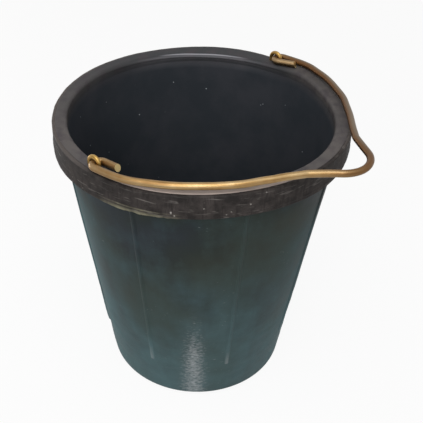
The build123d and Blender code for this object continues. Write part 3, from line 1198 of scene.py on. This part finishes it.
@dataclass
class RimBand:
    """The coarse rubber band bonded round the neck and lapped over the rim's edge, its foot torn to flash."""

    MARKS: ClassVar[Sequence[str]] = ("face", "crown", "flash", "lip")

    moulding: BucketMoulding
    radius: float = 161.3
    foot: float = 307.5
    top: float = 333.9
    top_round: float = 1.6
    around: int = 721
    lump: float = 0.35
    lump_size: float = 18.0
    lump_spread: Span = (0.3, 0.7)
    ragged: float = 2.2
    tear: float = 13.0
    tear_ramp: Ramp = (0.35, 0.75, 0.1, 1.0)
    flash_gain: float = 1.5
    flash_side: float = -163.0
    flash_reach: float = 19.0
    sag: float = 3.6
    sag_side: float = 148.0
    sag_reach: float = 62.0
    seed: float = 7.0
    weld: float = 0.01

    def section(self) -> TurnedSection:
        """Gives the closed section from the neck, over the top and down the face, round the foot and back.

        Returns:
            The section, with the marks of its surfaces.
        """
        neck, rim, flange = self.moulding.neck_radius, self.moulding.rim_radius, self.moulding.flange
        face = {"face": 1.0}
        return TurnedSection(
            [
                Corner(neck, flange, step=4.0),
                Corner(rim, flange, step=3.0),
                Corner(rim, self.top, 0.0, 1.0, {"face": 0.6, "crown": 1.0}),
                Corner(self.radius, self.top, self.top_round, 1.2, {"face": 1.0, "crown": 0.7}),
                Corner(self.radius, self.top - 2.4, 0.0, 1.6, face),
                Corner(self.radius, self.foot + 5.5, 0.0, 1.0, face),
                Corner(self.radius + 0.3, self.foot + 4.2, 0.0, 1.0, {"face": 1.0, "flash": 0.45}),
                Corner(self.radius - 0.1, self.foot + 3.0, 0.0, 0.8, face),
                Corner(self.radius, self.foot + 0.9, 0.0, 0.6, {"face": 1.0, "flash": 0.6, "lip": 0.4}),
                Corner(self.radius - 0.3, self.foot, 0.0, 0.5, {"face": 0.8, "flash": 1.0, "lip": 1.0}),
                Corner(self.radius - 1.0, self.foot + 0.5, 0.0, 2.5, {"face": 0.6, "flash": 0.5, "lip": 0.5}),
                Corner(neck, self.foot, 0.0, 6.0),
                Corner(neck, flange),
            ],
            self.MARKS,
        )

    def tree(self) -> Tree:
        """Builds the tree that turns the section, roughens its face and tears its foot.

        Returns:
            A tree with the band's sizes as its named inputs.
        """
        tree, given = shape_tree("bonded_band", {
            "Section": "Object", "Rows": "Int", "Around": "Int", "Lump Size": "Float", "Lump": "Float",
            "Tear Size": "Float", "Ragged": "Float", "Flash Side": "Float", "Flash Reach": "Float",
            "Sag": "Float", "Sag Side": "Float", "Sag Reach": "Float", "Seed": "Float", "Rubber": "Material",
            **self.moulding.mouth.inputs(),
        })
        grid = TurnedGrid.start(tree, given, self.MARKS)
        marks = grid.marks
        out, turned = grid.turn(grid.spin)

        noise = {"Vector": turned, "W": given["Seed"], "Scale": given["Lump Size"], "Detail": 4.0,
                 "Roughness": 0.6}
        lumps = uneven(tree, noise, self.lump_spread, given["Lump"])
        lumps = put(tree, "ShaderNodeMath", [lumps, marks["face"]], operation="MULTIPLY")
        final = put(tree, "ShaderNodeVectorMath", [out, lumps, turned], operation="MULTIPLY_ADD")
        swell = self.moulding.mouth.shift(grid, given, grid.spin, out)
        final = put(tree, "ShaderNodeVectorMath", [final, swell], operation="ADD")

        # The flash hangs on one side, in short torn tongues, and next to it the whole foot sags.
        bells = []
        for label in ("Flash", "Sag"):
            off = apart(tree, grid.spin, given[f"{label} Side"])
            bell = [off, given[f"{label} Reach"], 0.0, 0.0, 1.0]
            bells.append(put(tree, "ShaderNodeMapRange", bell, **SMOOTH))
        torn, sagging = bells
        torn = put(tree, "ShaderNodeMath", [torn, self.flash_gain], operation="MULTIPLY", use_clamp=True)
        noise = {"Vector": turned, "W": given["Seed"], "Scale": given["Tear Size"], "Detail": 3.0,
                 "Roughness": 0.7}
        tongues = put(tree, "ShaderNodeTexNoise", noise, noise_dimensions="4D")
        tongues = put(tree, "ShaderNodeMapRange", [tongues, *self.tear_ramp])
        hang = put(tree, "ShaderNodeMath", [tongues, torn], operation="MULTIPLY")
        pale = put(tree, "ShaderNodeMath", [marks["flash"], hang], operation="MULTIPLY")
        hang = put(tree, "ShaderNodeMath", [hang, given["Ragged"]], operation="MULTIPLY")
        hang = put(tree, "ShaderNodeMath", [sagging, given["Sag"], hang], operation="MULTIPLY_ADD")
        hang = put(tree, "ShaderNodeMath", [hang, marks["lip"]], operation="MULTIPLY")
        hang = put(tree, "ShaderNodeVectorMath", [(0.0, 0.0, -1.0), hang], operation="MULTIPLY")
        final = put(tree, "ShaderNodeVectorMath", [final, hang], operation="ADD")
        grid.finish(final, {"flash": pale, "crown": marks["crown"]}, self.weld, given["Rubber"])
        return tree

    def build(self, rubber: Material) -> Piece:
        """Builds and dresses the band.

        Args:
            rubber: The material of the band.

        Returns:
            The finished piece.
        """
        section = self.section().guide("band_section")
        piece = grow("band_moulding", self.tree(), {
            "Section": section,
            "Rows": len(section.data.vertices),
            "Around": self.around,
            "Lump Size": per(self.lump_size),
            "Lump": self.lump * MM,
            "Tear Size": per(self.tear),
            "Ragged": self.ragged * MM,
            "Flash Side": math.radians(self.flash_side),
            "Flash Reach": math.radians(self.flash_reach),
            "Sag": self.sag * MM,
            "Sag Side": math.radians(self.sag_side),
            "Sag Reach": math.radians(self.sag_reach),
            "Seed": self.seed,
            "Rubber": rubber,
            **self.moulding.mouth.values(),
        })
        bpy.data.objects.remove(section)
        settle(piece, Body.BUCKET, Slot.BAND, "rim_band")
        return piece


@dataclass
class WireLine:
    """A wire's middle line, laid run by run as straights and bends.

    A bend's points are no more than bend_step degrees and bend_run millimetres apart.
    """

    points: list[Vector]
    heading: Vector
    bend_step: float = 5.0
    bend_run: float = 4.0

    def straight(self, length: float, step: float = math.inf) -> None:
        """Runs straight on.

        Args:
            length: How far, in millimetres.
            step: The longest distance between points.
        """
        count = max(1, math.ceil(length / step))
        start = self.points[-1].copy()
        self.points.extend(start + self.heading * (length * k / count) for k in range(1, count + 1))

    def bend(self, radius: float, degrees: float, axis: Vector) -> None:
        """Bends about an axis.

        Args:
            radius: The bend's radius, in millimetres.
            degrees: How far the heading turns about the axis.
            axis: The axis, square to the heading.
        """
        side = math.copysign(1.0, degrees)
        start = self.points[-1].copy()
        centre = start + axis.cross(self.heading) * (radius * side)
        run = math.radians(abs(degrees)) * radius
        count = max(3, math.ceil(abs(degrees) / self.bend_step), math.ceil(run / self.bend_run))
        for k in range(1, count + 1):
            turn = Matrix.Rotation(math.radians(degrees * k / count), 3, axis)
            self.points.append(centre + turn @ (start - centre))
        self.heading = (Matrix.Rotation(math.radians(degrees), 3, axis) @ self.heading).normalized()


def wire_tree() -> Tree:
    """Builds the tree that draws a round wire along a middle line and cuts its ends.

    Returns:
        A tree with the wire's sizes as its named inputs.
    """
    tree, given = shape_tree("bent_wire", {
        "Line": "Object", "Radius": "Float", "Sides": "Int", "Crop Angle": "Float", "Crop Up": "Vector",
        "Finish": "Material",
    })
    here = put(tree, "GeometryNodeInputPosition")
    line = put(tree, "GeometryNodeObjectInfo", {"Object": given["Line"]}).node.outputs["Geometry"]
    line = put(tree, "GeometryNodeMeshToCurve", {"Mesh": line})

    # Each point keeps how far along the wire it is, how far from the nearer end, and which way that end lies.
    run = put(tree, "GeometryNodeSplineParameter").node.outputs["Length"]
    rest = put(tree, "GeometryNodeSplineLength")
    rest = put(tree, "ShaderNodeMath", [rest, run], operation="SUBTRACT")
    rest = put(tree, "ShaderNodeMath", [run, rest], operation="MINIMUM")
    end = put(tree, "GeometryNodeCurveEndpointSelection")
    share = put(tree, "GeometryNodeSplineParameter").node.outputs["Factor"]
    outward = put(tree, "ShaderNodeMapRange", [share, 0.0, 1.0, -1.0, 1.0])
    ahead = put(tree, "GeometryNodeInputTangent")
    ahead = put(tree, "ShaderNodeVectorMath", [ahead, outward], operation="MULTIPLY")
    for label, value, kind in (
        ("run", run, "FLOAT"), ("rest", rest, "FLOAT"), ("end", end, "FLOAT"),
        ("ahead", ahead, "FLOAT_VECTOR"), ("middle", here, "FLOAT_VECTOR"),
    ):
        line = put(tree, "GeometryNodeStoreNamedAttribute", {"Geometry": line, "Name": label, "Value": value},
                   data_type=kind, domain="POINT")

    sizes = {"Resolution": given["Sides"], "Radius": given["Radius"]}
    ring = put(tree, "GeometryNodeCurvePrimitiveCircle", sizes)
    turn = put(tree, "GeometryNodeSplineParameter").node.outputs["Factor"]
    ring = put(tree, "GeometryNodeStoreNamedAttribute", {"Geometry": ring, "Name": "turn", "Value": turn},
               data_type="FLOAT", domain="POINT")
    wire = put(tree, "GeometryNodeCurveToMesh", {"Curve": line, "Profile Curve": ring, "Fill Caps": True})

    # The end rings slide along the wire on to the slanting cut, whose face is turned up.
    ahead, middle = [
        put(tree, "GeometryNodeInputNamedAttribute", {"Name": label}, data_type="FLOAT_VECTOR")
        for label in ("ahead", "middle")
    ]
    cosine, sine, slope = [
        put(tree, "ShaderNodeMath", [given["Crop Angle"]], operation=kind)
        for kind in ("COSINE", "SINE", "TANGENT")
    ]
    turned_up = put(tree, "ShaderNodeVectorMath", [given["Crop Up"], sine], operation="MULTIPLY")
    face = put(tree, "ShaderNodeVectorMath", [ahead, cosine, turned_up], operation="MULTIPLY_ADD")
    set_back = put(tree, "ShaderNodeMath", [given["Radius"], slope], operation="MULTIPLY")
    set_back = put(tree, "ShaderNodeVectorMath", [ahead, set_back], operation="MULTIPLY")
    from_cut = put(tree, "ShaderNodeVectorMath", [here, middle], operation="SUBTRACT")
    from_cut = put(tree, "ShaderNodeVectorMath", [from_cut, set_back], operation="ADD")
    past = put(tree, "ShaderNodeVectorMath", [from_cut, face], operation="DOT_PRODUCT").node.outputs["Value"]
    slant = put(tree, "ShaderNodeVectorMath", [ahead, face], operation="DOT_PRODUCT").node.outputs["Value"]
    slide = put(tree, "ShaderNodeMath", [past, slant], operation="DIVIDE")
    slide = put(tree, "ShaderNodeVectorMath", [ahead, slide], operation="MULTIPLY")
    slid = put(tree, "ShaderNodeVectorMath", [here, slide], operation="SUBTRACT")
    end = put(tree, "GeometryNodeInputNamedAttribute", {"Name": "end"}, data_type="FLOAT")
    at_end = put(tree, "ShaderNodeMath", [end, 0.5], operation="GREATER_THAN")
    wire = put(tree, "GeometryNodeSetPosition", {"Geometry": wire, "Selection": at_end, "Position": slid})

    # A face of the drawn side has four neighbours, and a cut end has more.
    neighbours = put(tree, "GeometryNodeInputMeshFaceNeighbors")
    cut, drawn = [
        put(tree, "ShaderNodeMath", [neighbours, 4.5], operation=kind)
        for kind in ("GREATER_THAN", "LESS_THAN")
    ]
    wire = put(tree, "GeometryNodeStoreNamedAttribute", {"Geometry": wire, "Name": "cut", "Value": cut},
               data_type="FLOAT", domain="FACE")
    wire = put(tree, "GeometryNodeSetShadeSmooth", {"Geometry": wire, "Shade Smooth": drawn})
    end_tree(tree, wire, given["Finish"])
    return tree


@dataclass(frozen=True)
class HingeLine:
    """The line that the bail swings about, through the middle of both eyes."""

    out: float = 152.39
    back: float = 9.7
    height: float = 339.2


@dataclass
class WireEye:
    """One upright wire eye, its feet on the hoop inside the rim."""

    side: Side
    hinge: HingeLine
    bend_radius: float = 6.4
    wire: float = 4.7
    foot: float = 333.2
    sides: int = 24

    def middle_line(self) -> list[Vector]:
        """Gives the wire's middle line, from the front foot over the arch to the back foot.

        Returns:
            Its points, in millimetres.
        """
        start = Vector((self.side.value * self.hinge.out, self.hinge.back - self.bend_radius, self.foot))
        line = WireLine([start], UP.copy())
        line.straight(self.hinge.height - self.foot)
        line.bend(self.bend_radius, -180.0, Vector((1.0, 0.0, 0.0)))
        line.straight(self.hinge.height - self.foot)
        return line.points

    def build(self, tree: Tree, brass: Material) -> Piece:
        """Builds and dresses the eye.

        Args:
            tree: The bent wire's tree.
            brass: The wire's material.

        Returns:
            The finished piece.
        """
        line = guide_line("eye_line", self.middle_line(), {})
        piece = grow(f"eye_loop_{self.side.name.lower()}", tree, {
            "Line": line,
            "Radius": self.wire / 2 * MM,
            "Sides": self.sides,
            "Crop Angle": 0.0,
            "Crop Up": UP,
            "Finish": brass,
        })
        bpy.data.objects.remove(line)
        settle(piece, Body.BUCKET, Slot.EYE, f"eye_{self.side.name.lower()}")
        return piece


@dataclass
class Bail:
    """The bent rod that carries the bucket, hooked through both eyes and lying over the front of the rim.

    A stray is how far along from the left hook, and how far outside the true line, the rod was bent by hand.
    """

    hinge: HingeLine
    rod: float = 7.5
    link_radius: float = 7.0
    crest_reach: float = 212.5
    hump_radius: float = 31.1
    hump_leg: float = 29.7
    hump_leg_angle: float = 36.5
    foot_radius: float = 17.0
    arm_slope: float = 49.9
    hook_close: Mapping[Side, float] = field(default_factory=lambda: {Side.LEFT: 0.0, Side.RIGHT: 15.0})
    cropped_end: Mapping[Side, float] = field(default_factory=lambda: {Side.LEFT: 19.0, Side.RIGHT: 22.0})
    crop_angle: float = 21.0
    rest_tip: float = 2.8
    step: float = 5.0
    sides: int = 32
    strays: Sequence[Span] = (
        (0.0, 0.0), (38.0, 1.7), (65.0, 0.2), (100.0, 0.4), (150.0, 4.0), (172.0, 2.0), (195.0, 0.0),
        (238.0, -2.0), (273.0, -0.1), (308.0, 0.2), (345.0, 0.6), (385.0, 2.0), (412.0, 1.6), (446.0, -0.6),
        (486.0, 0.2), (508.0, 1.8), (545.7, 0.0),
    )

    def place(self, point: Vector) -> Vector:
        """Takes a point from the bail's plane, whose Z points down through the rim, to the frame.

        Args:
            point: Across, out from the hinge line, and down, in millimetres.

        Returns:
            The point in the frame, in millimetres.
        """
        tip = math.radians(self.rest_tip)
        hinge = Vector((0.0, self.hinge.back, self.hinge.height))
        forth = Vector((0.0, -math.cos(tip), math.sin(tip)))
        down = Vector((0.0, -math.sin(tip), -math.cos(tip)))
        return hinge + Vector((point.x, 0.0, 0.0)) + forth * point.y + down * point.z

    def arm_line(self) -> WireLine:
        """Gives the middle line from the hump's crest to the start of one hook, in the bail's plane.

        Returns:
            The line, heading into the hook.
        """
        line = WireLine([Vector((0.0, self.crest_reach, 0.0))], Vector((1.0, 0.0, 0.0)))
        line.bend(self.hump_radius, self.hump_leg_angle - 90.0, UP)
        line.straight(self.hump_leg, self.step)
        line.bend(self.foot_radius, self.arm_slope - self.hump_leg_angle, UP)
        # The arm's straight run and its long bend are what reach from the foot to the hook.
        slope = math.radians(self.arm_slope)
        fold = 1.0 - math.cos(slope)
        across = self.hinge.out + self.link_radius - line.points[-1].x
        back = self.link_radius - line.points[-1].y
        line.straight(back + across * math.sin(slope) / fold, self.step)
        line.bend(-(back * math.sin(slope) + across * math.cos(slope)) / fold, -self.arm_slope, UP)
        return line

    def hook_line(self, arm: WireLine, side: Side) -> list[Vector]:
        """Gives the middle line of one hook and its cropped end, which go on from an arm.

        Args:
            arm: The right arm, whose last point starts the hook.
            side: The side that the hook is on.

        Returns:
            Its points after the arm's last one, in the bail's plane.
        """
        line = WireLine([arm.points[-1].copy()], arm.heading.copy())
        line.bend(self.link_radius, -180.0 - self.hook_close[side], UP)
        line.straight(self.cropped_end[side])
        return [Vector((side.value * p.x, p.y, p.z)) for p in line.points[1:]]

    def bent_by_hand(self, points: Sequence[Vector]) -> list[Vector]:
        """Moves the line between the hooks sideways, where the bending strayed.

        Args:
            points: The true line, from one hook to the other.

        Returns:
            The line as it was bent.
        """
        moved = []
        run = 0.0
        last = len(self.strays) - 1
        for i, point in enumerate(points):
            before, after = points[max(i - 1, 0)], points[min(i + 1, len(points) - 1)]
            run += (point - before).length
            k = next((k for k in range(1, last) if run < self.strays[k][0]), last)
            (start, low), (end, high) = self.strays[k - 1], self.strays[k]
            share = min(max((run - start) / (end - start), 0.0), 1.0)
            share = share * share * (3.0 - 2.0 * share)
            aside = UP.cross(after - before).normalized()
            moved.append(point + aside * (low + (high - low) * share))
        return moved

    def build(self, tree: Tree, brass: Material) -> Piece:
        """Builds and dresses the bail.

        Args:
            tree: The bent wire's tree.
            brass: The rod's material.

        Returns:
            The finished piece.
        """
        arm = self.arm_line()
        middle = self.bent_by_hand([Vector((-p.x, p.y, p.z)) for p in reversed(arm.points[1:])] + arm.points)
        left = list(reversed(self.hook_line(arm, Side.LEFT)))
        points = [self.place(p) for p in left + middle + self.hook_line(arm, Side.RIGHT)]
        line = guide_line("bail_line", points, {})
        piece = grow("bail_rod_bent", tree, {
            "Line": line,
            "Radius": self.rod / 2 * MM,
            "Sides": self.sides,
            "Crop Angle": math.radians(self.crop_angle),
            "Crop Up": self.place(-UP) - self.place(Vector()),
            "Finish": brass,
        })
        bpy.data.objects.remove(line)
        settle(piece, Body.BAIL, Slot.ROD, "bail_handle")
        return piece


@dataclass
class RimHoop:
    """The steel hoop hidden in the rim, which stays as the CAD made it."""

    node: str = "rim_hoop"

    def dress(self, steel: Material) -> None:
        """Gives the hoop its steel.

        Args:
            steel: The hoop's material.
        """
        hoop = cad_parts[self.node]
        hoop.data.materials.clear()
        hoop.data.materials.append(steel)
        log.info("%s: dressed in %s", self.node, steel.name)


@dataclass(frozen=True)
class SoftBox:
    """One soft studio lamp, with its place, what it is aimed at and its width and height in metres."""

    name: str
    place: Triple
    aim: Triple
    size: Span
    watts: float

    def hang(self) -> None:
        """Adds the lamp to the scene."""
        lamp = bpy.data.lights.new(self.name, "AREA")
        lamp.shape = "RECTANGLE"
        lamp.size, lamp.size_y = self.size
        lamp.energy = self.watts
        holder = bpy.data.objects.new(self.name, lamp)
        holder.location = self.place
        holder.rotation_euler = (Vector(self.aim) - Vector(self.place)).to_track_quat("-Z", "Y").to_euler()
        holder.visible_camera = False
        bpy.context.scene.collection.objects.link(holder)


@dataclass
class Studio:
    """A pale floor, soft lamps and the camera at the photograph's angle."""

    paper: str = "#E4E4E4"
    paper_roughness: float = 0.95
    ambient: float = 0.40
    wash: float = 0.92
    floor_size: float = 8.0
    camera_place: Triple = (-618.17, -494.48, 785.89)
    camera_aim: Triple = (18.55, -3.78, 191.08)
    camera_roll: float = 1.936
    lens: float = 71.101
    sensor: float = 36.0
    lamps: Sequence[SoftBox] = (
        SoftBox("overhead", (-0.52, -0.28, 1.5), (0.0, 0.0, 0.25), (0.8, 0.8), 10.0),
        SoftBox("front", (-1.05, -0.62, 1.0), (0.0, 0.0, 0.25), (0.5, 0.5), 5.0),
        SoftBox("left_back", (-0.25, 1.25, 0.2), (-0.05, 0.1, 0.15), (0.7, 0.3), 4.0),
    )

    def seen(self, tree: Tree) -> Socket:
        """Gives 1 for rays that look at the background, straight or by way of metal, and 0 for the others.

        Args:
            tree: The material's or the world's tree.

        Returns:
            The output that holds the number.
        """
        path = put(tree, "ShaderNodeLightPath").node.outputs
        seen = path["Is Camera Ray"]
        for kind in ("Is Glossy Ray", "Is Transmission Ray"):
            seen = put(tree, "ShaderNodeMath", [seen, path[kind]], operation="MAXIMUM")
        return seen

    def lay_floor(self) -> None:
        """Lays white paper that keeps a soft shadow and looks white elsewhere."""
        mesh = bpy.data.meshes.new("paper_floor")
        half = self.floor_size / 2
        corners = [(half * x, half * y, 0.0) for x, y in ((-1, -1), (1, -1), (1, 1), (-1, 1))]
        mesh.from_pydata(corners, [], [(0, 1, 2, 3)])
        floor = bpy.data.objects.new("paper_floor", mesh)
        bpy.context.scene.collection.objects.link(floor)
        paper, tree = start_finish("matt_white_paper")
        end_finish(paper, {"Base Color": linear(self.paper), "Roughness": self.paper_roughness,
                           "Specular IOR Level": 0.0})
        matt = tree.nodes["Principled BSDF"].outputs["BSDF"]
        glow = put(tree, "ShaderNodeEmission", [WHITE, 1.0])
        share = put(tree, "ShaderNodeMath", [self.seen(tree), self.wash], operation="MULTIPLY")
        mixed = put(tree, "ShaderNodeMixShader", [share, matt, glow])
        tree.links.new(mixed, tree.nodes["Material Output"].inputs["Surface"])
        mesh.materials.append(paper)

    def light_world(self) -> None:
        """Makes the surroundings white to the eye and a plain soft light on the object."""
        world = bpy.data.worlds.new("white_studio")
        world.use_nodes = True
        tree = world.node_tree
        strength = put(tree, "ShaderNodeMapRange", [self.seen(tree), 0.0, 1.0, self.ambient, 1.0])
        back = tree.nodes["Background"]
        back.inputs["Color"].default_value = WHITE
        tree.links.new(strength, back.inputs["Strength"])
        bpy.context.scene.world = world

    def set_camera(self) -> None:
        """Stands the camera where the photograph was taken from."""
        camera = bpy.data.cameras.new("portrait")
        camera.lens = self.lens
        camera.sensor_width = self.sensor
        holder = bpy.data.objects.new("portrait", camera)
        sight = Vector(self.camera_aim) - Vector(self.camera_place)
        level = sight.to_track_quat("-Z", "Y").to_matrix().to_4x4()
        roll = Matrix.Rotation(math.radians(self.camera_roll), 4, "Z")
        holder.matrix_world = Matrix.Translation(Vector(self.camera_place) * MM) @ level @ roll
        bpy.context.scene.collection.objects.link(holder)
        bpy.context.scene.camera = holder

    def build(self) -> None:
        """Sets up the whole studio."""
        self.lay_floor()
        self.light_world()
        for lamp in self.lamps:
            lamp.hang()
        self.set_camera()
        bpy.context.scene.view_settings.view_transform = "Standard"


def main() -> None:
    """Builds every sub-assembly in order and sets up the studio."""
    logging.basicConfig(level=logging.INFO, format="%(name)s %(message)s")
    moulding = BucketMoulding(Mouth())
    moulding.build(MouldedRubber().material())
    RimBand(moulding).build(BandRubber().material())
    RimHoop().dress(DrawnSteel().material())
    hinge = HingeLine()
    bent_wire = wire_tree()
    eye_brass = BrassedWire("worn_brass_wire", "#B7985A", "#8A6A38", "#5E4426", wear=0.9)
    eye_finish = eye_brass.material()
    for side in Side:
        WireEye(side, hinge).build(bent_wire, eye_finish)
    rod_brass = BrassedWire("tarnished_brass_rod", "#B29C76", "#997A4E", "#60422B", wear=0.6,
                            shine_middle=185.0, shine_reach=150.0)
    Bail(hinge).build(bent_wire, rod_brass.material())
    Studio().build()


if __name__ == "__main__":
    main()
